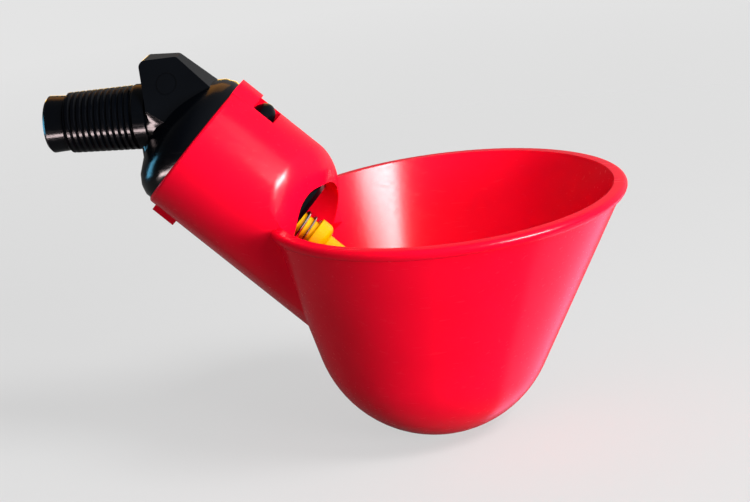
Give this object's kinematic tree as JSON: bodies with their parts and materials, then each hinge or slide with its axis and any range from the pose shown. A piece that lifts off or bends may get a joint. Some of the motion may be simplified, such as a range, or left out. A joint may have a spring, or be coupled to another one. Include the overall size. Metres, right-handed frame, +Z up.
{
  "type": "poultry drinking cup",
  "caption": "Small drinking cup for poultry: a round bowl on a slanted collar, a threaded inlet elbow that snaps in, and a sprung peck trigger that opens the water valve.",
  "frame": {"origin": "centre of the shoulder face on the threaded stub's axis, where the stub leaves the elbow", "axes": "the stub points along -X, +Z is up with the bowl's rim level, and the bowl lies along +X"},
  "size_m": [0.0795, 0.0496, 0.0569],
  "materials": {
    "cup_plastic": "injection-moulded red polypropylene, soft gloss",
    "elbow_plastic": "injection-moulded black plastic, high gloss",
    "trigger_plastic": "injection-moulded yellow acetal, smooth",
    "seal_rubber": "soft black rubber, matt",
    "spring_steel": "drawn stainless spring wire, bright"
  },
  "bodies": {
    "cup": {"cup_body": "cup_plastic", "inlet_elbow": "elbow_plastic", "valve_seat": "elbow_plastic", "spigot_o_ring": "seal_rubber", "return_spring": "spring_steel"},
    "trigger": {"peck_trigger": "trigger_plastic", "valve_seal": "seal_rubber", "stem_button": "trigger_plastic"}
  },
  "joints": [
    {"name": "trigger_push", "type": "slide", "parent": "cup", "child": "trigger", "axis": [-0.7071, 0, 0.7071], "range_m": [0, 0.0016], "stiffness_N_per_m": 200, "springref_m": -0.002, "deforming": ["return_spring"]}
  ]
}
